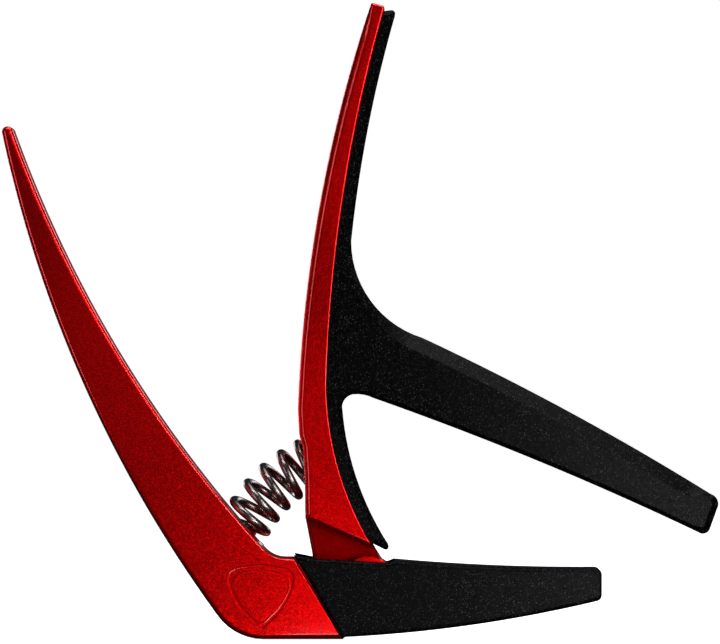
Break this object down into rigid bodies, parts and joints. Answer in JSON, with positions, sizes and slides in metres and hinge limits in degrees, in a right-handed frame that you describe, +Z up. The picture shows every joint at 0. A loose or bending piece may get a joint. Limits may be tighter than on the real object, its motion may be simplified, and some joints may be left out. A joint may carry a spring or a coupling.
{
  "type": "guitar capo",
  "caption": "Spring-loaded trigger capo: a V-shaped body with one jaw, and a pivoting lever with an arched, rubber-covered string bar.",
  "frame": {"origin": "under the middle of the capo's bounding box, on the plane of the body's flat base", "axes": "+X along the jaws towards their open ends, +Y across the capo's width, +Z up from the flat base towards the handles' tips"},
  "size_m": [0.1179, 0.0132, 0.1045],
  "materials": {
    "red_paint": "metallic flake paint on cast aluminium",
    "black_rubber": "matt, fine grained moulding",
    "spring_steel": "bright nickel-plated spring wire",
    "pin_steel": "ground steel pin",
    "bush_plastic": "natural nylon"
  },
  "bodies": {
    "body": {"body_casting": "red_paint", "neck_moulding": "black_rubber", "pivot_pin": "pin_steel", "return_spring": "spring_steel"},
    "lever": {"lever_casting": "red_paint", "string_bar_moulding": "black_rubber", "front_hub_bush": "bush_plastic", "rear_hub_bush": "bush_plastic"}
  },
  "joints": [
    {"name": "jaw_pivot", "type": "hinge", "parent": "body", "child": "lever", "pos_m": [0.0024, 0, 0.0072], "axis": [0, -1, 0], "range_deg": [0, 20], "stiffness_Nm_per_rad": 8, "springref_deg": -5.73, "deforming": ["return_spring"]}
  ]
}
